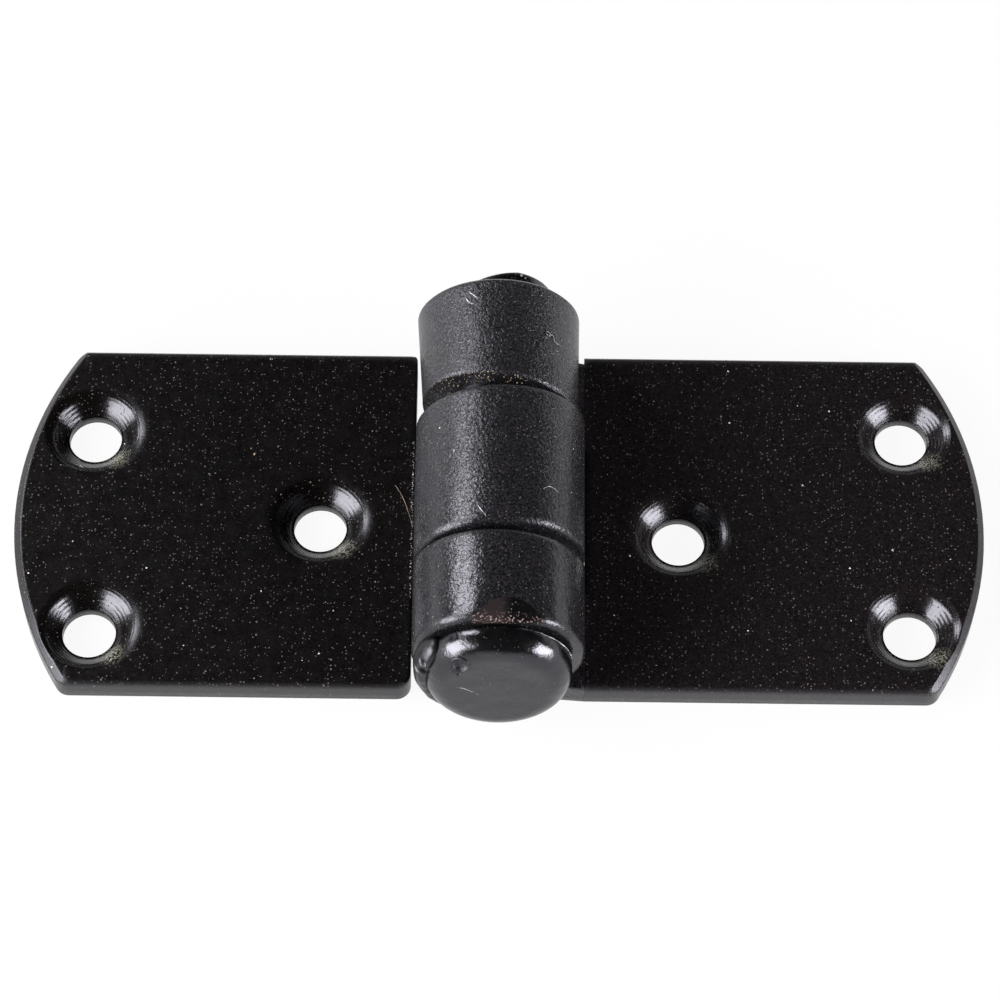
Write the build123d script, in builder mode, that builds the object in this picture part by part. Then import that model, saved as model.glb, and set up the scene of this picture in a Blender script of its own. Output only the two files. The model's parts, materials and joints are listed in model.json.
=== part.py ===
from build123d import *
import math
import os

# Chest hinge: two steel leaves with rolled knuckles on one headed pin, laid open and flat.
# X runs along the leaves, Y along the pin with the head at -Y, and Z up from the leaves' backs.
# All sizes are in millimetres and all angles in degrees.

# Leaves
overall_length = 100.0
leaf_width = 39.0
leaf_thickness = 3.0
end_bulge = 5.8
end_bevel = 0.7
edge_chamfer = 0.3
outer_corner_radius = 1.5
inner_far_radius = 0.8
inner_near_radius = 1.5
leaf_gap = 0.13

# Pin and its fit
pin_diameter = 10.4
pin_clearance = 0.05
tail_length = 2.95
tail_shear = 10.7
tail_ridge = 1.65
tail_chamfer = 0.2

# The pin's head, which was struck over with its face leaning up, and a pit in it
head_diameter = 14.8
head_length = 3.5
head_lean = 8.0
head_edge_radius = 2.4
head_gap = 0.5
pit_radius = 1.25
pit_depth = 0.6
pit_across = -3.85
pit_up = 4.2

# Knuckles
knuckle_wall = 3.4
far_wall_at_end = 3.2
far_wall_at_middle = 2.7
middle_knuckle_length = 15.9
middle_knuckle_shift = -0.25
far_knuckle_length = 11.16
near_knuckle_length = 9.98
far_knuckle_gap = 1.54
near_knuckle_gap = 0.72
seam_gap = 0.25
rim_chamfer = 0.35

# How far the knuckles' ends run out of square, and the far one's outside out of line with the pin
far_knuckle_skew = -6.5
middle_far_skew = 2.0
middle_near_skew = 2.3
near_knuckle_skew = -1.0
far_knuckle_lean = 1.6
far_tongue_inset = 0.9

# The flat that was struck on the near knuckle beside the head
struck_length = 2.3
struck_slope = 21.4
struck_turn = 7.6

# Screw seats
hole_diameter = 5.45
countersink_diameter = 10.2
countersink_depth = 1.9
countersink_angle = 90.0
lip_width = 0.75
lip_angle = 28.0
outer_hole_inset = 8.0
outer_hole_spacing = 22.8
inner_hole_distance = 18.5
left_pair_shift = -1.6
right_pair_shift = -0.8
left_pair_lean = 0.35
right_pair_lean = 0.0
left_inner_shift = -0.5
right_inner_shift = -1.6

# Sizes that follow from the ones above
half_length = overall_length / 2
half_width = leaf_width / 2
corner_x = half_length - end_bulge
bore_radius = pin_diameter / 2 + pin_clearance
barrel_radius = bore_radius + knuckle_wall
axis_height = barrel_radius
inner_x = barrel_radius + leaf_gap
middle_far = middle_knuckle_shift + middle_knuckle_length / 2
middle_near = middle_knuckle_shift - middle_knuckle_length / 2
far_start = middle_far + far_knuckle_gap
far_end = far_start + far_knuckle_length
near_start = middle_near - near_knuckle_gap
near_end = near_start - near_knuckle_length
head_back = near_end - head_gap
tail_end = far_end + tail_length
hole_radius = hole_diameter / 2
countersink_radius = countersink_diameter / 2
outer_hole_distance = half_length - outer_hole_inset
LEFT, RIGHT = -1, 1


def leaf_plate(side):
    """One flat leaf with a shallow arc for its outer end.

    The arc's upper arris is ground to a bevel, the straight ones are broken, and the outer upright
    corners are rounded last.
    """
    far_corner = (side * corner_x, half_width)
    near_corner = (side * corner_x, -half_width)
    with BuildSketch() as outline:
        with BuildLine():
            Polyline(far_corner, (side * inner_x, half_width), (side * inner_x, -half_width), near_corner)
            ThreePointArc(near_corner, (side * half_length, 0), far_corner)
        make_face()
    with BuildPart() as plate:
        extrude(outline.sketch, amount=leaf_thickness)
        chamfer(plate.faces().sort_by(Axis.Z)[-1].edges().filter_by(GeomType.CIRCLE), length=end_bevel)
        chamfer(plate.faces().sort_by(Axis.Z)[-1].edges().filter_by(Axis.X), length=edge_chamfer)
        posts = plate.edges().filter_by(Axis.Z).sort_by(Axis.X, reverse=side == LEFT)
        fillet(posts[-2:], radius=outer_corner_radius)
    return plate.part


def end_line(y, skew, x):
    """Where the end of a knuckle lies at a given x, when the strip was cut out of square."""
    return y + x * math.tan(math.radians(skew))


def end_plane(y, skew):
    """The plane that a knuckle's end lies in."""
    slant = math.radians(skew)
    return Plane(origin=(0, y, axis_height), z_dir=(-math.sin(slant), math.cos(slant), 0))


def turned_roll(low, high, low_skew, high_skew, low_wall, high_wall, lean):
    """The outside of one knuckle: a roll about the pin, trimmed out of square at its ends.

    The roll's own axis leans off the pin's from the low end on, where the strip was wound out of line.
    """
    spare = barrel_radius * math.tan(math.radians(max(abs(low_skew), abs(high_skew), lean)))
    turn = math.radians(lean)
    roll_plane = Plane(
        origin=(0, low, axis_height),
        x_dir=(-math.sin(turn), math.cos(turn), 0),
        z_dir=(math.cos(turn), math.sin(turn), 0),
    )
    reach = high - low + spare
    with BuildPart() as roll:
        with BuildSketch(roll_plane):
            with BuildLine():
                Polyline(
                    (-spare, 0),
                    (-spare, bore_radius + low_wall),
                    (reach, bore_radius + high_wall),
                    (reach, 0),
                    close=True,
                )
            make_face()
        revolve(axis=Axis(roll_plane.origin, roll_plane.x_dir))
        split(bisect_by=end_plane(low, low_skew), keep=Keep.TOP)
        split(bisect_by=end_plane(high, high_skew), keep=Keep.BOTTOM)
        ends = roll.faces().sort_by(Axis.Y)
        chamfer(ends[0].edges() + ends[-1].edges(), length=rim_chamfer)
    return roll.part


def struck_plane():
    """The plane of the flat: it starts on the knuckle's top line and falls towards the head."""
    turn = math.radians(struck_turn)
    slope = math.radians(struck_slope)
    return Plane(
        origin=(
            barrel_radius * math.sin(turn),
            near_end + struck_length,
            axis_height + barrel_radius * math.cos(turn),
        ),
        z_dir=(math.cos(slope) * math.sin(turn), -math.sin(slope), math.cos(slope) * math.cos(turn)),
    )


def run_tongue(side, low, high, leaf_low, leaf_high):
    """Carry the leaf's strip under the pin as far as the bottom of its roll."""
    with BuildSketch() as tongue:
        with BuildLine():
            Polyline(
                (0, low),
                (side * inner_x, leaf_low),
                (side * inner_x, leaf_high),
                (0, high),
                close=True,
            )
        make_face()
    extrude(tongue.sketch, amount=leaf_thickness)


def open_seam(side, low, high):
    """Cut the bore, and the wedge between the strip's square end and the leaf it was rolled from.

    Both cuts run on past the knuckle's ends, which are out of square.
    """
    spare = (far_knuckle_gap + near_knuckle_gap) / 2
    with Locations(Location((0, (low + high) / 2, axis_height), (90, 0, 0))):
        Cylinder(bore_radius, high - low + 2 * spare, mode=Mode.SUBTRACT)
    end_angle = math.acos(1 - (leaf_thickness + seam_gap) / barrel_radius)
    drop = axis_height - leaf_thickness
    with BuildSketch(Plane.XZ.offset(-high - spare)) as wedge:
        with BuildLine():
            Polyline(
                (0, axis_height),
                (side * drop * math.tan(end_angle), leaf_thickness),
                (0, leaf_thickness),
                close=True,
            )
        make_face()
    extrude(wedge.sketch, amount=high - low + 2 * spare, mode=Mode.SUBTRACT)


def seat_cutter():
    """The shape that a screw seat takes out: a hole, a narrow ledge, a cone and a flatter lip."""
    half_angle = math.radians(countersink_angle / 2)
    lip_depth = lip_width * math.tan(math.radians(lip_angle))
    cone_top = countersink_radius - lip_width
    ledge_radius = cone_top - (countersink_depth - lip_depth) * math.tan(half_angle)
    ledge_height = leaf_thickness - countersink_depth
    with BuildPart() as cutter:
        with BuildSketch(Plane.XZ):
            with BuildLine():
                Polyline(
                    (0, -leaf_thickness),
                    (hole_radius, -leaf_thickness),
                    (hole_radius, ledge_height),
                    (ledge_radius, ledge_height),
                    (cone_top, leaf_thickness - lip_depth),
                    (countersink_radius, leaf_thickness),
                    (countersink_radius, 2 * leaf_thickness),
                    (0, 2 * leaf_thickness),
                    close=True,
                )
            make_face()
        revolve(axis=Axis.Z)
    return cutter.part


def screw_seats(side, pair_shift, pair_lean, inner_shift):
    """Cut a leaf's three screw seats: a pair at its outer end and one nearer the pin."""
    reach = outer_hole_spacing / 2
    places = [
        (side * (outer_hole_distance + pair_lean), pair_shift + reach),
        (side * (outer_hole_distance - pair_lean), pair_shift - reach),
        (side * inner_hole_distance, inner_shift),
    ]
    with Locations(*places):
        add(seat, mode=Mode.SUBTRACT)


# The flat leaves, before their knuckles are rolled
left_plate = leaf_plate(LEFT)
right_plate = leaf_plate(RIGHT)

# The outsides of the three rolls, and the seat cutter
middle_roll = turned_roll(
    middle_near, middle_far, middle_near_skew, middle_far_skew, knuckle_wall, knuckle_wall, 0
)
far_roll = turned_roll(
    far_start, far_end, far_knuckle_skew, 0, far_wall_at_middle, far_wall_at_end, far_knuckle_lean
)
near_roll = turned_roll(near_end, near_start, 0, near_knuckle_skew, knuckle_wall, knuckle_wall, 0)
seat = seat_cutter()

# Left leaf, with the middle knuckle
with BuildPart() as left_leaf:
    add(left_plate)
    for row, radius in ((0, inner_near_radius), (-1, inner_far_radius)):
        post = left_leaf.edges().filter_by(Axis.Z).group_by(Axis.Y)[row].sort_by(Axis.X)[-1]
        fillet(post, radius=radius)
    add(middle_roll)
    run_tongue(
        LEFT,
        middle_near,
        middle_far,
        end_line(middle_near, middle_near_skew, -inner_x),
        end_line(middle_far, middle_far_skew, -inner_x),
    )
    open_seam(LEFT, middle_near, middle_far)
    screw_seats(LEFT, left_pair_shift, left_pair_lean, left_inner_shift)

# Right leaf, with the far and the near knuckle, whose tongues end at the leaf's own edges
with BuildPart() as right_leaf:
    add(near_roll)
    split(bisect_by=struck_plane(), keep=Keep.BOTTOM)
    add([right_plate, far_roll])
    run_tongue(
        RIGHT,
        far_start,
        far_end,
        end_line(far_start, far_knuckle_skew, inner_x),
        half_width - far_tongue_inset,
    )
    run_tongue(
        RIGHT,
        near_end,
        near_start,
        -half_width,
        end_line(near_start, near_knuckle_skew, inner_x),
    )
    open_seam(RIGHT, far_start, far_end)
    open_seam(RIGHT, near_end, near_start)
    screw_seats(RIGHT, right_pair_shift, right_pair_lean, right_inner_shift)

# The pin's head, leaning on the end of its shank
lean = math.radians(head_lean)
head_plane = Plane(
    origin=(0, head_back, axis_height), x_dir=(1, 0, 0), z_dir=(0, -math.cos(lean), math.sin(lean))
)
with BuildPart() as pin_head:
    with BuildSketch(head_plane.offset(head_length)):
        Circle(head_diameter / 2)
    extrude(amount=-2 * head_length)
    fillet(pin_head.faces().sort_by(Axis.Y)[0].edges(), radius=head_edge_radius)
    split(bisect_by=Plane.XZ.offset(-head_back), keep=Keep.TOP)
    pit_centre = (pit_across, pit_up, head_length + pit_radius - pit_depth)
    with Locations(head_plane.from_local_coords(pit_centre)):
        Sphere(pit_radius, mode=Mode.SUBTRACT)

# Pin, whose other end was sheared off in two goes
with BuildPart() as hinge_pin:
    add(pin_head.part)
    with BuildSketch(Plane.XZ.offset(-head_back)):
        with Locations((0, axis_height)):
            Circle(pin_diameter / 2)
    extrude(amount=head_back - tail_end)
    tail_y = tail_end - tail_ridge * math.tan(math.radians(tail_shear))
    split(bisect_by=end_plane(tail_y, tail_shear), keep=Keep.BOTTOM)
    tail_faces = hinge_pin.faces().sort_by(Axis.Y)[-2:]
    chamfer(tail_faces.edges().filter_by(GeomType.LINE, reverse=True), length=tail_chamfer)

os.makedirs("parts", exist_ok=True)
for piece, name in ((left_leaf, "left_leaf"), (right_leaf, "right_leaf"), (hinge_pin, "hinge_pin")):
    piece.part.label = name
    export_step(piece.part, f"parts/{name}.step")
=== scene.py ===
import json
import math

import bpy
import numpy as np
from mathutils import Matrix, Vector
from mathutils.bvhtree import BVHTree


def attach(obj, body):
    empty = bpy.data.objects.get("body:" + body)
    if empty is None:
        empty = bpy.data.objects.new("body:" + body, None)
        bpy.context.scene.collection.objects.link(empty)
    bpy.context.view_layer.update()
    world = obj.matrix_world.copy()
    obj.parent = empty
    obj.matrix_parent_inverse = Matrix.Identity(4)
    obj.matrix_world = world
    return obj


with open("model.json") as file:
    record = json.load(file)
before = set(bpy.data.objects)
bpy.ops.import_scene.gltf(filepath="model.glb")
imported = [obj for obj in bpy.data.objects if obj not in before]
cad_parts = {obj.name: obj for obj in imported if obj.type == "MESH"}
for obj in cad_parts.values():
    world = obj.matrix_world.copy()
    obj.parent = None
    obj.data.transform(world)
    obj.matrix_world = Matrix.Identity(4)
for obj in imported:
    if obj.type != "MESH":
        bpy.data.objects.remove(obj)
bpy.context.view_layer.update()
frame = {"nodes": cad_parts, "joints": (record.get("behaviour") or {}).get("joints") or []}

# Chest hinge in black stoved enamel, laid open. X runs along the leaves, Y along the pin with
# its head at -Y, and Z up. Lengths are in metres, and MM turns the object's millimetres into them.
MM = 0.001

# Sizes that the finish follows. The knuckles' underside lies in the plane of the leaves' backs, so
# their radius is the pin's height. A leaf's rounded outer end starts at LEAF_CORNER.
AXIS_HEIGHT = frame["joints"][0]["pos_m"][2]
BARREL_RADIUS = AXIS_HEIGHT
BARREL_SIDE = BARREL_RADIUS + 0.1 * MM
NEAR_END = -18.9 * MM
FAR_END = 20.4 * MM
LEAF_CORNER = 43.8 * MM

# The middle of each screw seat seen from above, in millimetres, then its radius and its soft edge
SEATS = {
    "left_leaf": [(-42.35, 9.8), (-41.65, -13.0), (-18.5, -0.5)],
    "right_leaf": [(42.0, 10.6), (42.0, -12.2), (18.5, -1.6)],
}
SEAT_RADIUS = 5.1 * MM
SEAT_FADE = 0.3 * MM


def linear(hex_colour):
    """An sRGB hex colour as linear red, green and blue with a full alpha."""
    channels = np.array([int(hex_colour[i:i + 2], 16) for i in (1, 3, 5)]) / 255
    toe = channels / 12.92
    curve = ((channels + 0.055) / 1.055) ** 2.4
    return (*np.where(channels <= 0.04045, toe, curve), 1.0)


def add(tree, kind, inputs=None, **settings):
    """Add a node with its settings. An input takes a plain value, an output, or a node for its first
    output. A Mix node's input 0 is the share, 2 and 3 are its values, and 6 and 7 its colours."""
    node = tree.nodes.new(kind)
    for name, value in settings.items():
        setattr(node, name, value)
    for key, value in (inputs or {}).items():
        if isinstance(value, bpy.types.Node):
            value = next(output for output in value.outputs if output.enabled)
        if isinstance(value, bpy.types.NodeSocket):
            tree.links.new(value, node.inputs[key])
        else:
            node.inputs[key].default_value = value
    return node


def new_material(name):
    """An empty material and its node tree."""
    material = bpy.data.materials.new(name)
    material.use_nodes = True
    material.node_tree.nodes.clear()
    return material, material.node_tree


# Camera, fitted to the photograph: where it looks, from how far and through what lens
CAMERA_TARGET = Vector((0.051 * MM, 3.764 * MM, 0.0))
CAMERA_DISTANCE = 399.9 * MM
CAMERA_ELEVATION = math.radians(60.818)
CAMERA_AZIMUTH = math.radians(-0.205)
CAMERA_ROLL = math.radians(0.872)
NEAREST_SEEN = 10 * MM
FRAME_PIXELS = 1000.0
FOCAL_PIXELS = 3836.0
SENSOR_WIDTH = 36.0


def add_camera():
    """The camera stands at its azimuth and elevation about the target, rolled about its own line."""
    back = Vector((
        math.sin(CAMERA_AZIMUTH) * math.cos(CAMERA_ELEVATION),
        -math.cos(CAMERA_AZIMUTH) * math.cos(CAMERA_ELEVATION),
        math.sin(CAMERA_ELEVATION),
    ))
    level = Vector((math.cos(CAMERA_AZIMUTH), math.sin(CAMERA_AZIMUTH), 0.0))
    upright = back.cross(level)
    right = math.cos(CAMERA_ROLL) * level + math.sin(CAMERA_ROLL) * upright
    up = back.cross(right)
    data = bpy.data.cameras.new("camera")
    data.sensor_width = SENSOR_WIDTH
    data.lens = FOCAL_PIXELS / FRAME_PIXELS * SENSOR_WIDTH
    data.clip_start = NEAREST_SEEN
    camera = bpy.data.objects.new("camera", data)
    turn = Matrix((right, up, back)).transposed().to_4x4()
    camera.matrix_world = Matrix.Translation(CAMERA_TARGET + back * CAMERA_DISTANCE) @ turn
    bpy.context.collection.objects.link(camera)
    bpy.context.scene.camera = camera


# Studio: a white sweep all round, which darkens into a ceiling between two heights, and three soft
# boxes. Each box has its direction, width, height and brightness, where 1 is white.
WHITE = "#ffffff"
SWEEP_TOP = math.sin(math.radians(5))
CEILING_FOOT = math.sin(math.radians(15))
CEILING_TONE = 0.018
BOX_DISTANCE = 0.60
SOFT_BOXES = {
    "key_box": ((-0.86, -0.31, 0.40), 0.56, 0.30, 15.0),
    "back_box": ((-0.66, 0.47, 0.60), 0.16, 0.24, 12.5),
    "right_box": ((0.87, -0.35, 0.30), 0.42, 0.20, 19.0),
}


def add_world():
    """White to the camera. To all else it is a white sweep that darkens into a ceiling."""
    world = bpy.data.worlds.new("studio")
    bpy.context.scene.world = world
    world.use_nodes = True
    tree = world.node_tree
    tree.nodes.clear()
    direction = add(tree, "ShaderNodeTexCoord").outputs["Generated"]
    height = add(tree, "ShaderNodeSeparateXYZ", {0: direction}).outputs["Z"]
    sweep = add(tree, "ShaderNodeMapRange", {
        "Value": height, "From Min": SWEEP_TOP, "From Max": CEILING_FOOT,
        "To Min": 1.0, "To Max": CEILING_TONE,
    }, interpolation_type="SMOOTHSTEP")
    room = add(tree, "ShaderNodeBackground", {"Color": linear(WHITE), "Strength": sweep})
    white = add(tree, "ShaderNodeBackground", {"Color": linear(WHITE), "Strength": 1.0})
    to_camera = add(tree, "ShaderNodeLightPath").outputs["Is Camera Ray"]
    shown = add(tree, "ShaderNodeMixShader", {0: to_camera, 1: room, 2: white})
    add(tree, "ShaderNodeOutputWorld", {0: shown})


def add_soft_boxes():
    """Each box is an area lamp that faces the hinge. Its power is its brightness times pi and its area."""
    for name, (direction, width, height, brightness) in SOFT_BOXES.items():
        data = bpy.data.lights.new(name, "AREA")
        data.shape = "RECTANGLE"
        data.size = width
        data.size_y = height
        data.energy = brightness * math.pi * width * height
        lamp = bpy.data.objects.new(name, data)
        aim = Vector(direction).normalized()
        lamp.location = aim * BOX_DISTANCE
        lamp.rotation_euler = aim.to_track_quat("Z", "Y").to_euler()
        lamp.visible_camera = False
        bpy.context.collection.objects.link(lamp)


# Floor: its width, its paper's colour, how clear it is to the camera, and how much of it glows in
# reflections
FLOOR_SIZE = 6.0
PAPER = "#e7e7e7"
FLOOR_CLEAR_SHARE = 0.93
MIRRORED_GLOW_SHARE = 0.80


def add_floor():
    """Matt white paper. To the camera it is mostly clear, with the white sweep behind it, so that it
    reads white and a leaf that is folded down past it still shows. In reflections it mostly glows."""
    half = FLOOR_SIZE / 2
    corners = [(-half, -half, 0), (half, -half, 0), (half, half, 0), (-half, half, 0)]
    mesh = bpy.data.meshes.new("floor")
    mesh.from_pydata(corners, [], [(0, 1, 2, 3)])
    floor = bpy.data.objects.new("floor", mesh)
    bpy.context.collection.objects.link(floor)
    material, tree = new_material("white_paper")
    rays = add(tree, "ShaderNodeLightPath").outputs
    mirrored = add(tree, "ShaderNodeMath", {
        0: rays["Is Glossy Ray"], 1: rays["Is Transmission Ray"],
    }, operation="MAXIMUM")
    glowing = add(tree, "ShaderNodeMath", {0: mirrored, 1: MIRRORED_GLOW_SHARE}, operation="MULTIPLY")
    cleared = add(tree, "ShaderNodeMath", {
        0: rays["Is Camera Ray"], 1: FLOOR_CLEAR_SHARE,
    }, operation="MULTIPLY")
    paper = add(tree, "ShaderNodeBsdfDiffuse", {"Color": linear(PAPER)})
    glow = add(tree, "ShaderNodeEmission", {"Color": linear(WHITE), "Strength": 1.0})
    lit = add(tree, "ShaderNodeMixShader", {0: glowing, 1: paper, 2: glow})
    clear = add(tree, "ShaderNodeBsdfTransparent")
    shown = add(tree, "ShaderNodeMixShader", {0: cleared, 1: lit, 2: clear})
    add(tree, "ShaderNodeOutputMaterial", {0: shown})
    mesh.materials.append(material)


# Dust on the enamel: how far apart the specks lie, how many places hold one, their radius and tint.
# Most real specks are finer than a pixel, so they are drawn a pixel or two across to show. The
# knuckles and the pin hold less of it.
DUST = [
    (1.50 * MM, 0.50, 0.11 * MM, "#cfcbc6"),
    (0.70 * MM, 0.62, 0.10 * MM, "#67625e"),
    (0.34 * MM, 0.95, 0.095 * MM, "#4b4541"),
]
DUST_ROUGHNESS = 0.9
BARREL_DUST = 0.9
PIN_DUST = 0.6


def add_dust(tree, point, colour, thickness):
    """Specks of lint over a colour, each a small ball that the surface cuts through.

    A speck lies in the middle of each cell whose chance is high enough, and its radius grows with
    that chance. Thickness scales them all. Returns the new colour, and 1 where a speck lies.
    """
    cover = 0.0
    for pitch, share, radius, tint in DUST:
        cells = add(tree, "ShaderNodeTexVoronoi", {"Vector": point, "Scale": 1 / pitch})
        chance = add(tree, "ShaderNodeSeparateColor", {0: cells.outputs["Color"]})
        size = add(tree, "ShaderNodeMapRange", {
            "Value": chance, "From Min": 1 - share, "From Max": 1.0, "To Max": radius / pitch,
        })
        scaled = add(tree, "ShaderNodeMath", {0: size, 1: thickness}, operation="MULTIPLY")
        speck = add(tree, "ShaderNodeMath", {
            0: cells.outputs["Distance"], 1: scaled,
        }, operation="LESS_THAN")
        colour = add(tree, "ShaderNodeMix", {0: speck, 6: colour, 7: linear(tint)}, data_type="RGBA")
        cover = add(tree, "ShaderNodeMath", {0: speck, 1: cover}, operation="MAXIMUM")
    return colour, cover


def nearest_place(tree, flat, places):
    """How far a point lies from the nearest of some places, seen from above, or 1 if that is less."""
    nearest = 1.0
    for x, y in places:
        reach = add(tree, "ShaderNodeVectorMath", {
            0: flat, 1: (x * MM, y * MM, 0),
        }, operation="DISTANCE").outputs["Value"]
        nearest = add(tree, "ShaderNodeMath", {0: reach, 1: nearest}, operation="MINIMUM")
    return nearest


# The enamel's darkest and lightest tone on each leaf and on the knuckles, and the tint of its glints.
# The left leaf's tones are darker and the right leaf's lighter: painted shade and painted light, which
# stand in for the light that falls more on the right leaf.
LEAF_TONES_WITH_PAINTED_LIGHT = {"left_leaf": ("#030202", "#100d0b"), "right_leaf": ("#0b0809", "#1d191a")}
BARREL_TONES = ("#0d0d0f", "#29272a")
COOL_GLINT = "#f4f3ff"

# How it reflects: its IOR, and its roughness on the leaves' glossy and dull patches, from the near
# knuckle's end to the far one's, in the screw seats and on the struck flat
ENAMEL_IOR = 1.52
LEAF_ROUGHNESS = (0.24, 0.34)
BARREL_ROUGHNESS = (0.14, 0.32)
SEAT_ROUGHNESS = 0.20
STRUCK_ROUGHNESS = 0.3

# How far it rounds the arrises of a leaf, the bevel at a leaf's outer end and a knuckle's rims
ARRIS_ROUND = 1.5 * MM
BEVEL_ROUND = 0.3 * MM
RIM_ROUND = 0.9 * MM

# Its skin: the pitch and the depth of the grain, of the knuckles' orange peel and waves, and of the
# tool's rings and dimples in the seats. The peel deepens from the near end to the far end. The real
# grain is finer than a pixel, so it is drawn two pixels coarse to show.
LEAF_GRAIN = 0.22 * MM
LEAF_GRAIN_DEPTH = 0.004 * MM
LEAF_PATCHES = 6 * LEAF_GRAIN
ORANGE_PEEL = 0.34 * MM
ORANGE_PEEL_DEPTH = 0.060 * MM
PEEL_GROWTH = (0.6, 2.6)
WAVES = 2.6 * MM
WAVE_DEPTH = 0.15 * MM
TOOL_MARK_PITCH = 0.34 * MM
TOOL_MARK_DEPTH = 0.008 * MM
SEAT_DIMPLES = 0.5 * MM
SEAT_DIMPLE_DEPTH = 0.018 * MM

# The grain noise at which a light grain, a speck of a seat's painted highlight and a copper speck
# begins and is full, and the patch noise at which the glossy patches end and the dull ones begin
LIGHT_GRAINS = (0.35, 0.68)
SEAT_HIGHLIGHT_GRAINS = (0.46, 0.62)
COPPER_GRAINS = (0.57, 0.63)
DULL_PATCHES = (0.3, 0.7)

# A painted highlight in each screw seat, a patch of pale warm specks at its lower right: the patch's
# place from the seat's middle, in millimetres, then its reach, its full core and its tone
SEAT_HIGHLIGHT_OFFSET = (2.4, -3.0)
SEAT_HIGHLIGHT_REACH = 1.7 * MM
SEAT_HIGHLIGHT_CORE = 0.3 * SEAT_HIGHLIGHT_REACH
SEAT_HIGHLIGHT_TONE = "#8a8878"

# The flat that was struck on the near knuckle's end: how far it lies inside the roll, its lowest
# height over the pin, its length, its left edge, and how far its copper specks reach from the end.
# Its smear is warm on the left and black on the right, and turns between two places across it.
STRUCK_DEPTH = 0.03 * MM
STRUCK_HEIGHT = 7.2 * MM
STRUCK_LENGTH = 2.4 * MM
STRUCK_LEFT = -2.6 * MM
COPPER_REACH = 0.9 * MM
COPPER = "#a68d88"
SMEAR_TONES = ("#251e1f", "#020202")
SMEAR_TURN = (0.2 * MM, 1.2 * MM)


def struck_flat(tree, point, axes):
    """1 on the near knuckle's struck flat and 0 elsewhere. The flat is what lies inside the roll's
    radius, high over the pin, near the knuckle's end and right of the flat's left edge."""
    from_pin = add(tree, "ShaderNodeVectorMath", {0: point, 1: (0, 0, AXIS_HEIGHT)}, operation="SUBTRACT")
    from_pin = add(tree, "ShaderNodeVectorMath", {0: from_pin, 1: (1, 0, 1)}, operation="MULTIPLY")
    radius = add(tree, "ShaderNodeVectorMath", {0: from_pin}, operation="LENGTH").outputs["Value"]
    limits = [
        (radius, "LESS_THAN", BARREL_RADIUS - STRUCK_DEPTH),
        (axes["Z"], "GREATER_THAN", AXIS_HEIGHT + STRUCK_HEIGHT),
        (axes["Y"], "LESS_THAN", NEAR_END + STRUCK_LENGTH),
        (axes["X"], "GREATER_THAN", STRUCK_LEFT),
    ]
    struck = 1.0
    for place, comparison, limit in limits:
        inside = add(tree, "ShaderNodeMath", {0: place, 1: limit}, operation=comparison)
        struck = add(tree, "ShaderNodeMath", {0: struck, 1: inside}, operation="MULTIPLY")
    return struck


def seat_highlights(tree, flat, seats, grain, colour):
    """The colour with a painted highlight of pale warm specks at each screw seat's lower right."""
    highlight_spots = [(x + SEAT_HIGHLIGHT_OFFSET[0], y + SEAT_HIGHLIGHT_OFFSET[1]) for x, y in seats]
    near_highlight = add(tree, "ShaderNodeMapRange", {
        "Value": nearest_place(tree, flat, highlight_spots), "From Min": SEAT_HIGHLIGHT_REACH, "From Max": SEAT_HIGHLIGHT_CORE,
    })
    specks = add(tree, "ShaderNodeMapRange", {
        "Value": grain, "From Min": SEAT_HIGHLIGHT_GRAINS[0], "From Max": SEAT_HIGHLIGHT_GRAINS[1],
    })
    highlighted = add(tree, "ShaderNodeMath", {0: near_highlight, 1: specks}, operation="MULTIPLY")
    return add(tree, "ShaderNodeMix", {0: highlighted, 6: colour, 7: linear(SEAT_HIGHLIGHT_TONE)}, data_type="RGBA")


def smeared_flat(tree, axes, struck, grain, colour):
    """The colour with the struck flat's smear, and copper specks that thin out away from the end."""
    side = add(tree, "ShaderNodeMapRange", {
        "Value": axes["X"], "From Min": SMEAR_TURN[0], "From Max": SMEAR_TURN[1],
    })
    warm, black = map(linear, SMEAR_TONES)
    smear = add(tree, "ShaderNodeMix", {0: side, 6: warm, 7: black}, data_type="RGBA")
    bared = add(tree, "ShaderNodeMapRange", {
        "Value": axes["Y"], "From Min": NEAR_END + COPPER_REACH, "From Max": NEAR_END,
    })
    specks = add(tree, "ShaderNodeMapRange", {
        "Value": grain, "From Min": COPPER_GRAINS[0], "From Max": COPPER_GRAINS[1],
    })
    specks = add(tree, "ShaderNodeMath", {0: specks, 1: bared}, operation="MULTIPLY")
    smear = add(tree, "ShaderNodeMix", {0: specks, 6: smear, 7: linear(COPPER)}, data_type="RGBA")
    return add(tree, "ShaderNodeMix", {0: struck, 6: colour, 7: smear}, data_type="RGBA")


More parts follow.
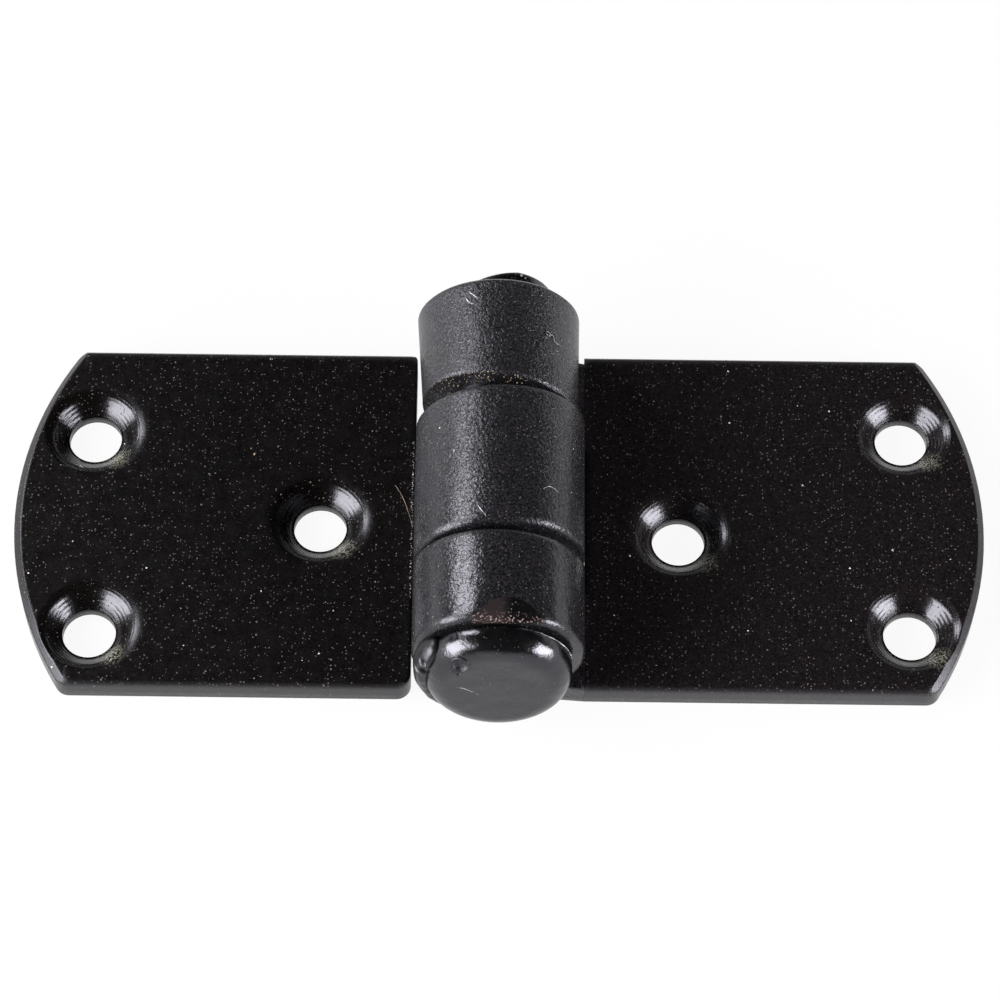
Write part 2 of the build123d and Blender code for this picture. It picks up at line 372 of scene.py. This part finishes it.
def black_enamel(name, tones, seats):
    """Stoved black enamel on steel: a deep satin black with soft highlights.

    It is warm and dusty on the leaves, and darker on the left leaf and lighter on the right, which is
    painted shade and painted light. On the knuckles it lies thicker, in an orange peel that is
    glossiest beside the pin's head and deepest at the far end, so that the light breaks up on it. In
    the screw seats rings of the countersinking tool show through as faint arcs, with a painted
    highlight of pale warm specks in each, and the struck flat is smeared and lets copper specks show.
    """
    material, tree = new_material(name)
    point = add(tree, "ShaderNodeTexCoord").outputs["Object"]
    axes = add(tree, "ShaderNodeSeparateXYZ", {0: point}).outputs
    across = add(tree, "ShaderNodeMath", {0: axes["X"]}, operation="ABSOLUTE")
    on_barrel = add(tree, "ShaderNodeMath", {0: across, 1: BARREL_SIDE}, operation="LESS_THAN")
    flat = add(tree, "ShaderNodeCombineXYZ", {0: axes["X"], 1: axes["Y"]})
    to_seat = nearest_place(tree, flat, seats)
    in_seat = add(tree, "ShaderNodeMapRange", {
        "Value": to_seat, "From Min": SEAT_RADIUS, "From Max": SEAT_RADIUS - SEAT_FADE,
    })
    struck = struck_flat(tree, point, axes)
    grain = add(tree, "ShaderNodeTexNoise", {"Vector": point, "Scale": 1 / LEAF_GRAIN, "Detail": 2.0})

    light = add(tree, "ShaderNodeMapRange", {
        "Value": grain, "From Min": LIGHT_GRAINS[0], "From Max": LIGHT_GRAINS[1],
    })
    # Each leaf's tones: darker on the left leaf as painted shade, lighter on the right as painted light
    leaf, barrel = [
        add(tree, "ShaderNodeMix", {0: light, 6: linear(dark), 7: linear(pale)}, data_type="RGBA")
        for dark, pale in (tones, BARREL_TONES)
    ]
    satin = add(tree, "ShaderNodeMix", {0: on_barrel, 6: leaf, 7: barrel}, data_type="RGBA")
    # Painted highlight in each seat: a patch of pale warm specks at its lower right
    with_seat_highlights = seat_highlights(tree, flat, seats, grain, satin)
    painted = smeared_flat(tree, axes, struck, grain, with_seat_highlights)
    thickness = add(tree, "ShaderNodeMapRange", {"Value": on_barrel, "To Min": 1.0, "To Max": BARREL_DUST})
    colour, dusty = add_dust(tree, point, painted, thickness)

    patches = add(tree, "ShaderNodeTexNoise", {
        "Vector": point, "Scale": 1 / LEAF_PATCHES, "Detail": 5.0, "Roughness": 0.65,
    })
    on_leaf = add(tree, "ShaderNodeMapRange", {
        "Value": patches, "From Min": DULL_PATCHES[0], "From Max": DULL_PATCHES[1],
        "To Min": LEAF_ROUGHNESS[0], "To Max": LEAF_ROUGHNESS[1],
    })
    along = add(tree, "ShaderNodeMapRange", {
        "Value": axes["Y"], "From Min": NEAR_END, "From Max": FAR_END,
        "To Min": BARREL_ROUGHNESS[0], "To Max": BARREL_ROUGHNESS[1],
    })
    roughness = add(tree, "ShaderNodeMix", {0: on_barrel, 2: on_leaf, 3: along})
    for place, there in ((in_seat, SEAT_ROUGHNESS), (struck, STRUCK_ROUGHNESS), (dusty, DUST_ROUGHNESS)):
        roughness = add(tree, "ShaderNodeMix", {0: place, 2: roughness, 3: there})

    at_end = add(tree, "ShaderNodeMath", {0: across, 1: LEAF_CORNER}, operation="GREATER_THAN")
    leaf_round = add(tree, "ShaderNodeMapRange", {
        "Value": at_end, "To Min": ARRIS_ROUND, "To Max": BEVEL_ROUND,
    })
    round_off = add(tree, "ShaderNodeMix", {0: on_barrel, 2: leaf_round, 3: RIM_ROUND})
    normal = add(tree, "ShaderNodeBevel", {"Radius": round_off}, samples=8)
    peel = add(tree, "ShaderNodeTexNoise", {
        "Vector": point, "Scale": 1 / ORANGE_PEEL, "Detail": 2.0, "Distortion": 0.7,
    })
    deeper = add(tree, "ShaderNodeMapRange", {
        "Value": axes["Y"], "From Min": NEAR_END, "From Max": FAR_END,
        "To Min": PEEL_GROWTH[0], "To Max": PEEL_GROWTH[1],
    })
    peel_share = add(tree, "ShaderNodeMath", {0: deeper, 1: on_barrel}, operation="MULTIPLY")
    swell = add(tree, "ShaderNodeTexNoise", {"Vector": point, "Scale": 1 / WAVES, "Detail": 1.0})
    turns = add(tree, "ShaderNodeMath", {0: to_seat, 1: math.tau / TOOL_MARK_PITCH}, operation="MULTIPLY")
    rings = add(tree, "ShaderNodeMath", {0: turns}, operation="SINE")
    dimples = add(tree, "ShaderNodeTexNoise", {"Vector": point, "Scale": 1 / SEAT_DIMPLES, "Detail": 2.0})
    reliefs = [
        (grain, 1.0, LEAF_GRAIN_DEPTH),
        (peel, peel_share, ORANGE_PEEL_DEPTH),
        (swell, on_barrel, WAVE_DEPTH),
        (rings, in_seat, TOOL_MARK_DEPTH / 2),
        (dimples, in_seat, SEAT_DIMPLE_DEPTH),
    ]
    for relief, share, depth in reliefs:
        height = add(tree, "ShaderNodeMath", {0: relief, 1: share}, operation="MULTIPLY")
        normal = add(tree, "ShaderNodeBump", {"Height": height, "Distance": depth, "Normal": normal})
    shader = add(tree, "ShaderNodeBsdfPrincipled", {
        "Base Color": colour, "Roughness": roughness, "IOR": ENAMEL_IOR,
        "Specular Tint": linear(COOL_GLINT), "Normal": normal,
    })
    add(tree, "ShaderNodeOutputMaterial", {0: shader})
    return material


# The pin's enamel: its tones with the pitch of its blotches and the noise at which they begin and are
# full, its IOR, its roughness, and how far it rounds the head's arris
PIN_TONES = ("#050505", "#0e0d0f")
PIN_BLOTCHES = 1.4 * MM
BLOTCH_NOISE = (0.35, 0.70)
PIN_IOR = 1.66
PIN_ROUGHNESS = 0.18
HEAD_ROUND = 0.5 * MM

# The pitch and the depth of its grain and of its waves
PIN_GRAIN = 0.45 * MM
PIN_GRAIN_DEPTH = 0.032 * MM
PIN_WAVE_DEPTH = 0.14 * MM

# The pit in the head's face: its middle, how far it reaches, and its rougher, lumpier floor
HEAD_PIT = (-3.85 * MM, -22.9 * MM, 12.8 * MM)
HEAD_PIT_REACH = 1.3 * MM
PIT_ROUGHNESS = 0.35
PIT_GRAIN_DEPTH = 0.16 * MM


def pin_enamel():
    """The same enamel over the pin's struck head: smoother, so that it mirrors the pale floor in grey."""
    material, tree = new_material("black_enamel_pin")
    point = add(tree, "ShaderNodeTexCoord").outputs["Object"]
    blotches = add(tree, "ShaderNodeTexNoise", {
        "Vector": point, "Scale": 1 / PIN_BLOTCHES, "Detail": 5.0, "Roughness": 0.6,
    })
    blotch = add(tree, "ShaderNodeMapRange", {
        "Value": blotches, "From Min": BLOTCH_NOISE[0], "From Max": BLOTCH_NOISE[1],
    })
    dark, pale = map(linear, PIN_TONES)
    paint = add(tree, "ShaderNodeMix", {0: blotch, 6: dark, 7: pale}, data_type="RGBA")
    colour, dusty = add_dust(tree, point, paint, PIN_DUST)
    to_pit = add(tree, "ShaderNodeVectorMath", {0: point, 1: HEAD_PIT}, operation="DISTANCE")
    in_pit = add(tree, "ShaderNodeMath", {
        0: to_pit.outputs["Value"], 1: HEAD_PIT_REACH,
    }, operation="LESS_THAN")
    sheen = add(tree, "ShaderNodeMix", {0: in_pit, 2: PIN_ROUGHNESS, 3: PIT_ROUGHNESS})
    roughness = add(tree, "ShaderNodeMix", {0: dusty, 2: sheen, 3: DUST_ROUGHNESS})
    rounded = add(tree, "ShaderNodeBevel", {"Radius": HEAD_ROUND}, samples=4)
    grain = add(tree, "ShaderNodeTexNoise", {"Vector": point, "Scale": 1 / PIN_GRAIN, "Detail": 3.0})
    depth = add(tree, "ShaderNodeMapRange", {
        "Value": in_pit, "To Min": PIN_GRAIN_DEPTH / MM, "To Max": PIT_GRAIN_DEPTH / MM,
    })
    lumps = add(tree, "ShaderNodeMath", {0: grain, 1: depth}, operation="MULTIPLY")
    skin = add(tree, "ShaderNodeBump", {"Height": lumps, "Distance": MM, "Normal": rounded})
    swell = add(tree, "ShaderNodeTexNoise", {"Vector": point, "Scale": 1 / WAVES, "Detail": 1.0})
    waved = add(tree, "ShaderNodeBump", {"Height": swell, "Distance": PIN_WAVE_DEPTH, "Normal": skin})
    shader = add(tree, "ShaderNodeBsdfPrincipled", {
        "Base Color": colour, "Roughness": roughness, "IOR": PIN_IOR,
        "Specular Tint": linear(COOL_GLINT), "Normal": waved,
    })
    add(tree, "ShaderNodeOutputMaterial", {0: shader})
    return material


# Enamel that ran or was thrown up: its tones, the pitch and the depth of its wrinkles, its roughness
RAISED_TONES = ("#060506", "#1c1b1d")
WRINKLES = 0.4 * MM
WRINKLE_DEPTH = 0.03 * MM
RAISED_ROUGHNESS = (0.26, 0.46)


def raised_enamel():
    """Enamel that ran into a corner or was thrown up in a lip, and the web's dark lower part, which is
    painted shade: black, satin and finely wrinkled.
    """
    material, tree = new_material("raised_enamel")
    point = add(tree, "ShaderNodeTexCoord").outputs["Object"]
    wrinkle = add(tree, "ShaderNodeTexNoise", {"Vector": point, "Scale": 1 / WRINKLES, "Detail": 4.0})
    dark, pale = map(linear, RAISED_TONES)
    tone = add(tree, "ShaderNodeMix", {0: wrinkle, 6: dark, 7: pale}, data_type="RGBA")
    sheen = add(tree, "ShaderNodeMapRange", {
        "Value": wrinkle, "To Min": RAISED_ROUGHNESS[0], "To Max": RAISED_ROUGHNESS[1],
    })
    skin = add(tree, "ShaderNodeBump", {"Height": wrinkle, "Distance": WRINKLE_DEPTH})
    shader = add(tree, "ShaderNodeBsdfPrincipled", {
        "Base Color": tone, "Roughness": sheen, "IOR": ENAMEL_IOR,
        "Specular Tint": linear(COOL_GLINT), "Normal": skin,
    })
    add(tree, "ShaderNodeOutputMaterial", {0: shader})
    return material


# What lies on the enamel or broke out of it, and the pale lines that are painted highlights on the
# scuffs, the head's burr and the left leaf's arris: each one's darker and lighter tone, then the pitch
# of the mottling, the noise at which the lighter tone begins and is full, and the roughness
LOOSE_TONES = {
    "brown_hair": ("#4a3a30", "#9a8370"),
    "pale_lint": ("#6f6c70", "#b4b1b6"),
    "tan_grit": ("#6e5f4c", "#c2b49c"),
    "chipped_enamel": ("#3a383d", "#d9d7df"),
}
LOOSE_MOTTLE = 0.6 * MM
LOOSE_NOISE = (0.35, 0.65)
LOOSE_ROUGHNESS = (0.45, 0.75)


def loose_matter(name):
    """Hair, textile lint, grit and broken enamel, and pale lines that paint glints: dull, and mottled, so
    that it glints here and there.
    """
    material, tree = new_material(name)
    point = add(tree, "ShaderNodeTexCoord").outputs["Object"]
    mottle = add(tree, "ShaderNodeTexNoise", {"Vector": point, "Scale": 1 / LOOSE_MOTTLE, "Detail": 3.0})
    share = add(tree, "ShaderNodeMapRange", {
        "Value": mottle, "From Min": LOOSE_NOISE[0], "From Max": LOOSE_NOISE[1],
    })
    dark, pale = map(linear, LOOSE_TONES[name])
    colour = add(tree, "ShaderNodeMix", {0: share, 6: dark, 7: pale}, data_type="RGBA")
    dull = add(tree, "ShaderNodeMapRange", {
        "Value": mottle, "To Min": LOOSE_ROUGHNESS[0], "To Max": LOOSE_ROUGHNESS[1],
    })
    shader = add(tree, "ShaderNodeBsdfPrincipled", {"Base Color": colour, "Roughness": dull})
    add(tree, "ShaderNodeOutputMaterial", {0: shader})
    return material


# Small things on the enamel, in millimetres from here on. A path over the left leaf is seen from
# above, where the leaf's upper face lies at LEAF_FACE. On a knuckle each point has its angle about the
# pin, in degrees from straight up towards +X, and its place along the pin, and the knuckle's skin lies
# near KNUCKLE_SKIN from the pin's axis. The scratch on the head and the crumbs have X, Y and Z.
LEAF_FACE = 3.0
KNUCKLE_SKIN = 8.6
HAIR = [(-10.84, 3.69), (-10.31, 2.87), (-9.87, 1.92), (-9.54, 0.98), (-9.21, -0.07), (-8.95, -1.10)]
SEAT_LINT = [(-43.9, 6.5), (-43.6, 6.4), (-43.3, 6.15), (-43.2, 5.9)]
CURLED_FIBRE = [
    (36.0, 14.50), (34.6, 14.66), (35.0, 14.94), (36.6, 14.98), (37.6, 14.80), (36.8, 14.56),
    (39.0, 14.78), (41.0, 14.62), (42.2, 14.17), (45.8, 14.03), (49.8, 14.03),
]
PALE_FIBRE = [(29.5, -3.98), (33.4, -3.51), (37.5, -3.42), (42.7, -3.70)]
# Two scuffs on the far knuckle, drawn as pale ridges: real scuffs with a painted highlight along each
SCUFF_GLINTS = [
    [(-26.5, 18.60), (-25.3, 18.13), (-22.8, 17.65), (-19.6, 17.46)],
    [(-23.5, 19.00), (-22.2, 18.78), (-19.3, 18.38), (-16.4, 18.00)],
]
CRACK = [(-15.7, -5.89), (-13.9, -6.54), (-10.3, -7.31), (-7.9, -8.05)]
HEAD_SCRATCH = [(-4.1, -23.4, 9.72), (-3.2, -23.4, 9.35), (-1.9, -23.4, 8.44)]
FIBRE_RADIUS = 0.035
SCUFF_GLINT_RADIUS = 0.055
CRACK_RADIUS = 0.04
SCRATCH_RADIUS = 0.03

# Single crumbs, each by its place and then its radius
TAIL_CRUMBS = [
    (1.3, 22.9, 13.2, 0.16), (1.9, 22.9, 13.2, 0.12), (2.3, 22.7, 13.0, 0.09),
    (4.4, 22.4, 12.2, 0.13), (5.0, 22.2, 11.8, 0.11),
]
BROWN_SPOT = [(-25.5, 7.2, 3.0, 0.16)]
FAR_EDGE_NICK = [(-24.3, 18.8, 2.95, 0.10), (-24.1, 18.75, 2.9, 0.07)]

# A tube's end rings and the poles in them: the share of its radius that doesn't shrink, how much of
# the rest does, and a direction that no path here runs along, to start the rings from
STUB_SHARE = 0.1
TAPER = 0.98
RING_START = (0.1, -0.45, 0.88)

# A crumb's rings of points, by their latitude in degrees, how many points each has, and how far a
# point may lie in or out as a share of the radius
CRUMB_LATITUDES = [-50, 0, 50]
CRUMB_AROUND = 6
CRUMB_UNEVEN = (0.67, 1.33)


def smooth_path(points, count=48):
    """A path through points. Each stretch is the cubic whose slope at either end is half the step
    between that point's neighbours."""
    points = np.asarray(points, float)
    ends = np.vstack([2 * points[0] - points[1], points, 2 * points[-1] - points[-2]])
    place = np.linspace(0, len(points) - 1, count)
    start = np.minimum(place.astype(int), len(points) - 2)
    t = (place - start)[:, None]
    before, first, second, after = (ends[start + step] for step in range(4))
    bend = 2 * before - 5 * first + 4 * second - after
    twist = 3 * first - before - 3 * second + after
    return first + 0.5 * ((second - before) * t + bend * t ** 2 + twist * t ** 3)


def about_pin(angle, y, radius):
    """Points at an angle about the pin, in degrees from straight up towards +X, and at a radius."""
    turn = np.radians(angle)
    height = AXIS_HEIGHT / MM + radius * np.cos(turn)
    return np.stack([radius * np.sin(turn), y + 0 * turn, height], axis=-1)


def seated(node, points, lift):
    """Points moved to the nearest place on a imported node's surface, and lifted off it."""
    mesh = frame["nodes"][node].data
    corners = [vertex.co / MM for vertex in mesh.vertices]
    skin = BVHTree.FromPolygons(corners, [face.vertices[:] for face in mesh.polygons])
    found = [skin.find_nearest(point) for point in points]
    return np.array([place + normal * lift for place, normal, _, _ in found])


def closed_skins(rings, poles):
    """Closed skins as vertices and faces. Each has rings of points joined by quads, and two poles,
    each joined by triangles to the ring at its end."""
    number, count, around = rings.shape[:3]
    vertices = np.concatenate([rings.reshape(number, -1, 3), poles], axis=1)
    row, column = np.meshgrid(np.arange(count - 1), np.arange(around), indexing="ij")
    here, beside = row * around + column, row * around + (column + 1) % around
    quads = np.stack([here, beside, beside + around, here + around], axis=-1).reshape(-1, 4)
    turn = np.arange(around)
    after = (turn + 1) % around
    last = (count - 1) * around
    start = np.stack([np.full(around, count * around), after, turn], axis=-1)
    end = np.stack([np.full(around, count * around + 1), last + turn, last + after], axis=-1)
    step = np.arange(number)[:, None, None] * vertices.shape[1]
    triangles = np.vstack([start, end]) + step
    faces = (quads + step).reshape(-1, 4).tolist() + triangles.reshape(-1, 3).tolist()
    return vertices.reshape(-1, 3), faces


def tube(path, radius, around=8):
    """A tube along a path, its section a circle square to it. With s the distance from the middle,
    from 0 to 1, the radius is the stub's share and the rest times the root of 1 - TAPER * s ^ 6."""
    from_middle = np.abs(np.linspace(-1, 1, len(path)))[:, None, None]
    taper = STUB_SHARE + (1 - STUB_SHARE) * np.sqrt(1 - TAPER * from_middle ** 6)
    along = np.gradient(path, axis=0)
    along /= np.linalg.norm(along, axis=1)[:, None]
    side = np.cross(along, RING_START)
    side /= np.linalg.norm(side, axis=1)[:, None]
    up = np.cross(along, side)
    turn = np.linspace(0, math.tau, around, endpoint=False)[None, :, None]
    section = radius * (np.cos(turn) * side[:, None] + np.sin(turn) * up[:, None])
    rings = path[:, None] + taper * section
    return closed_skins(rings[None], path[None, [0, -1]])


def crumbs(centres, radii, seed):
    """Angular grains: balls given by latitude and longitude, each point in or out by up to a third."""
    random = np.random.default_rng(seed)
    latitude = np.radians(CRUMB_LATITUDES)[:, None]
    longitude = np.linspace(0, math.tau, CRUMB_AROUND, endpoint=False)
    ball = np.stack([
        np.cos(latitude) * np.cos(longitude), np.cos(latitude) * np.sin(longitude),
        np.sin(latitude) + 0 * longitude,
    ], axis=-1)
    rough = random.uniform(*CRUMB_UNEVEN, (len(centres), *ball.shape[:2], 1))
    rings = centres[:, None, None] + radii[:, None, None, None] * rough * ball
    up = np.array([0.0, 0.0, 1.0])
    poles = np.stack([centres - radii[:, None] * up, centres + radii[:, None] * up], axis=1)
    return closed_skins(rings, poles)


def chosen_crumbs(node, table, lift, seed):
    """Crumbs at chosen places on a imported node, each by its place and its radius."""
    places, radii = np.split(np.array(table), [3], axis=1)
    return crumbs(seated(node, places, lift), radii[:, 0], seed)


# Grit on the far knuckle's near end: how many crumbs, at which angles and radii about the pin and
# which place along it, and the crumbs' radii
GRIT_COUNT = 90
GRIT_ANGLES = (-66, 20)
GRIT_REACH = (6.2, 8.4)
GRIT_Y = 7.6
GRIT_RADII = (0.03, 0.08)


def gap_grit():
    """Grit in the upper gap, scattered over the upper left of the far knuckle's near end."""
    random = np.random.default_rng(7)
    angle = random.uniform(*GRIT_ANGLES, GRIT_COUNT)
    reach = random.uniform(*GRIT_REACH, GRIT_COUNT)
    places = seated("right_leaf", about_pin(angle, GRIT_Y, reach), lift=0.02)
    return crumbs(places, random.uniform(*GRIT_RADII, GRIT_COUNT), seed=8)


# Pale crumbs on the left leaf's inner upper arris, which paint a highlight along it: how many, where the
# arris lies, how far they stray from it, and their radii
GLINT_CRUMB_COUNT = 150
ARRIS_X = -9.0
ARRIS_Z = 2.95
ARRIS_Y = (-9.5, 9.0)
ARRIS_STRAY = 0.05
GLINT_CRUMB_RADII = (0.02, 0.055)


def arris_chips():
    """Pale crumbs along the left leaf's inner upper arris: a painted highlight, a light line along it."""
    random = np.random.default_rng(9)
    y = random.uniform(*ARRIS_Y, GLINT_CRUMB_COUNT)
    x = ARRIS_X + random.normal(0, ARRIS_STRAY, GLINT_CRUMB_COUNT)
    arris = np.stack([x, y, np.full(GLINT_CRUMB_COUNT, ARRIS_Z)], axis=-1)
    return crumbs(seated("left_leaf", arris, lift=0.0), random.uniform(*GLINT_CRUMB_RADII, GLINT_CRUMB_COUNT), seed=10)


# The lump of enamel that fills the corner between the near knuckle's end and the pin's head, whose
# lower part runs down to the underside as a dark body in the gap by the leaf's corner, which is painted
# shade: its arc about the pin in degrees, its radius and its place along the pin, its section's half
# width and half depth, and how many rings it has and how many points each
WEB_ANGLES = (-52.0, -158.0)
WEB_RADIUS = 7.45
WEB_Y = -19.9
WEB_WIDTH = 1.05
WEB_DEPTH = 1.9
WEB_RINGS = 96
WEB_AROUND = 32

# Its lumps, each a sine by its height, its pitch along the bead and round it, and its start. Its
# pits, each by its place along the bead, from -1 to 1, and its angle round it in radians, then their
# depth as a share of the section, their length and their spread.
WEB_LUMPS = [(0.04, 5, 2, 0), (0.02, 13, -3, 1), (0.01, 31, 1, 0)]
WEB_PITS = [(-0.70, 5.3), (-0.58, 4.9), (-0.47, 5.5)]
WEB_PIT_DEPTH = 0.45
WEB_PIT_LENGTH = 0.028
WEB_PIT_SPREAD = 0.06


def paint_web():
    """A sagging bead along an arc about the pin. Its section is an ellipse.

    The sines swell and pinch the section into lumps, and each pit is a bell-shaped dent along the
    bead and round it. With t the place along the bead, the section shrinks to the ends as the root
    of 1 - TAPER * t ^ 4. The bead's lower part, down to the underside, is a dark body in the gap by
    the leaf's corner: painted shade.
    """
    angle = np.linspace(*WEB_ANGLES, WEB_RINGS)
    path = about_pin(angle, WEB_Y, WEB_RADIUS)
    t = np.linspace(-1, 1, WEB_RINGS)[:, None]
    turn = np.linspace(0, math.tau, WEB_AROUND, endpoint=False)[None, :]
    lumps = 1 + sum(
        height * np.sin(along * t + around * turn + start) for height, along, around, start in WEB_LUMPS
    )
    pits = sum(
        np.exp(-((t - at) / WEB_PIT_LENGTH) ** 2 - ((np.cos(turn - facing) - 1) / WEB_PIT_SPREAD) ** 2)
        for at, facing in WEB_PITS
    )
    grow = (lumps - WEB_PIT_DEPTH * pits) * np.sqrt(1 - TAPER * t ** 4)
    out = about_pin(angle, 0.0, 1.0) - np.array([0, 0, AXIS_HEIGHT / MM])
    along_pin = np.array([0.0, 1.0, 0.0])
    across = (WEB_WIDTH * grow * np.cos(turn))[..., None] * out[:, None]
    deep = (WEB_DEPTH * grow * np.sin(turn))[..., None] * along_pin
    rings = path[:, None] + across + deep
    return closed_skins(rings[None], path[None, [0, -1]])


# The burr along the back arris of the pin's head, drawn pale as a painted highlight: its arc about the
# pin in degrees, its place along the pin, its distance from the pin's axis, and the ridge's own radius
GLINT_BURR_ANGLES = (12, 84)
GLINT_BURR_Y = -19.45
GLINT_BURR_REACH = 7.4
GLINT_BURR_RADIUS = 0.05

# The lip round the pit in the head: its distance from the pit's middle, its own radius, its span in
# degrees, and the waves in its distance, each by its height, its number in a turn and its start. The
# head's face leans back by 8 degrees, and their sine and cosine tip the lip's plane.
PIT_RIM_REACH = 0.95
PIT_RIM_RADIUS = 0.13
PIT_RIM_SPAN = (-20, 300)
PIT_RIM_WAVES = [(0.10, 3, 1), (0.05, 7, 0)]
LEAN_SINE = 0.14
LEAN_COSINE = 0.99


def head_burr():
    """A fine pale ridge along an arc about the pin, on the back arris of the head, at its upper right: a
    burr with a painted highlight.
    """
    wanted = about_pin(np.linspace(*GLINT_BURR_ANGLES, 24), GLINT_BURR_Y, GLINT_BURR_REACH)
    return tube(smooth_path(seated("hinge_pin", wanted, lift=0.0), 96), GLINT_BURR_RADIUS)


def pit_rim():
    """The lip thrown up round the pit in the head: a circle whose radius swells by sines of the turn,
    left open at its lower right."""
    turn = np.radians(np.linspace(*PIT_RIM_SPAN, 40))
    swell = sum(height * np.sin(waves * turn + start) for height, waves, start in PIT_RIM_WAVES)
    reach = PIT_RIM_REACH * (1 + swell)
    across, up = reach * np.cos(turn), reach * np.sin(turn)
    ring = np.stack([across, LEAN_SINE * up, LEAN_COSINE * up], axis=-1)
    path = smooth_path(seated("hinge_pin", np.array(HEAD_PIT) / MM + ring, lift=0.0), 120)
    return tube(path, PIT_RIM_RADIUS)


def over_leaf(outline, lift):
    """A path over the left leaf's upper face."""
    flat = np.array([(x, y, LEAF_FACE) for x, y in outline])
    return smooth_path(seated("left_leaf", flat, lift))


def over_knuckle(node, outline, lift):
    """A path over a knuckle, from its angles about the pin and its places along it."""
    angle, y = np.array(outline).T
    return smooth_path(seated(node, about_pin(angle, y, KNUCKLE_SKIN), lift))


def add_piece(name, skin, material, body):
    """A mesh object from a skin in millimetres, smooth, riding on a body."""
    vertices, faces = skin
    mesh = bpy.data.meshes.new(name)
    mesh.from_pydata((vertices * MM).tolist(), [], faces)
    mesh.polygons.foreach_set("use_smooth", np.ones(len(faces), bool))
    mesh.materials.append(material)
    piece = bpy.data.objects.new(name, mesh)
    bpy.context.collection.objects.link(piece)
    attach(piece, body)


def add_details():
    """Every hair, fibre, crumb, chip and run of enamel, each on the body that it sticks to. The pale
    scuffs, the head's burr and the crumbs on the left leaf's inner arris are painted highlights, and the
    web's lower part is painted shade.
    """
    brown_hair, pale_lint, tan_grit, chips_and_glints = map(loose_matter, LOOSE_TONES)
    raised = raised_enamel()
    fixed, swinging = "fixed_side", "swinging_side"

    hair = over_leaf(HAIR, lift=0.05)
    add_piece("leaf_hair", tube(hair, FIBRE_RADIUS), brown_hair, swinging)
    lint = over_leaf(SEAT_LINT, lift=0.04)
    add_piece("seat_lint", tube(lint, FIBRE_RADIUS), pale_lint, swinging)
    curled = over_knuckle("right_leaf", CURLED_FIBRE, lift=0.05)
    add_piece("curled_fibre", tube(curled, FIBRE_RADIUS), pale_lint, fixed)
    pale = over_knuckle("left_leaf", PALE_FIBRE, lift=0.03)
    add_piece("pale_fibre", tube(pale, FIBRE_RADIUS), pale_lint, swinging)
    # The scuffs are drawn pale: painted highlights along them
    for number, outline in enumerate(SCUFF_GLINTS, 1):
        scuff_glint = over_knuckle("right_leaf", outline, lift=0.0)
        add_piece(f"scuff_{number}", tube(scuff_glint, SCUFF_GLINT_RADIUS), chips_and_glints, fixed)
    crack = over_knuckle("left_leaf", CRACK, lift=0.0)
    add_piece("crack", tube(crack, CRACK_RADIUS), chips_and_glints, swinging)
    scratch = smooth_path(seated("hinge_pin", HEAD_SCRATCH, lift=0.0))
    add_piece("head_scratch", tube(scratch, SCRATCH_RADIUS), chips_and_glints, fixed)
    # The burr is drawn pale: a painted highlight on the head's back arris
    add_piece("head_burr", head_burr(), chips_and_glints, fixed)
    add_piece("pit_rim", pit_rim(), raised, fixed)
    # The web's lower part is a dark body in the gap by the leaf's corner: painted shade
    add_piece("paint_web", paint_web(), raised, fixed)
    add_piece("gap_grit", gap_grit(), tan_grit, fixed)
    # The arris crumbs are pale: a painted highlight along the left leaf's inner arris
    add_piece("arris_chips", arris_chips(), chips_and_glints, swinging)
    tail = chosen_crumbs("hinge_pin", TAIL_CRUMBS, lift=0.03, seed=12)
    add_piece("tail_grit", tail, pale_lint, fixed)
    spot = chosen_crumbs("left_leaf", BROWN_SPOT, lift=0.02, seed=14)
    add_piece("brown_spot", spot, brown_hair, swinging)
    nick = chosen_crumbs("left_leaf", FAR_EDGE_NICK, lift=0.02, seed=15)
    add_piece("far_edge_nick", nick, pale_lint, swinging)


def finish_node(node, material):
    """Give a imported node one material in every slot."""
    mesh = frame["nodes"][node].data
    if not mesh.materials:
        mesh.materials.append(material)
    for index in range(len(mesh.materials)):
        mesh.materials[index] = material


bpy.context.scene.view_settings.view_transform = "Standard"
add_camera()
add_world()
add_soft_boxes()
add_floor()
for leaf, seats in SEATS.items():
    finish_node(leaf, black_enamel("black_enamel_" + leaf, LEAF_TONES_WITH_PAINTED_LIGHT[leaf], seats))
finish_node("hinge_pin", pin_enamel())
add_details()
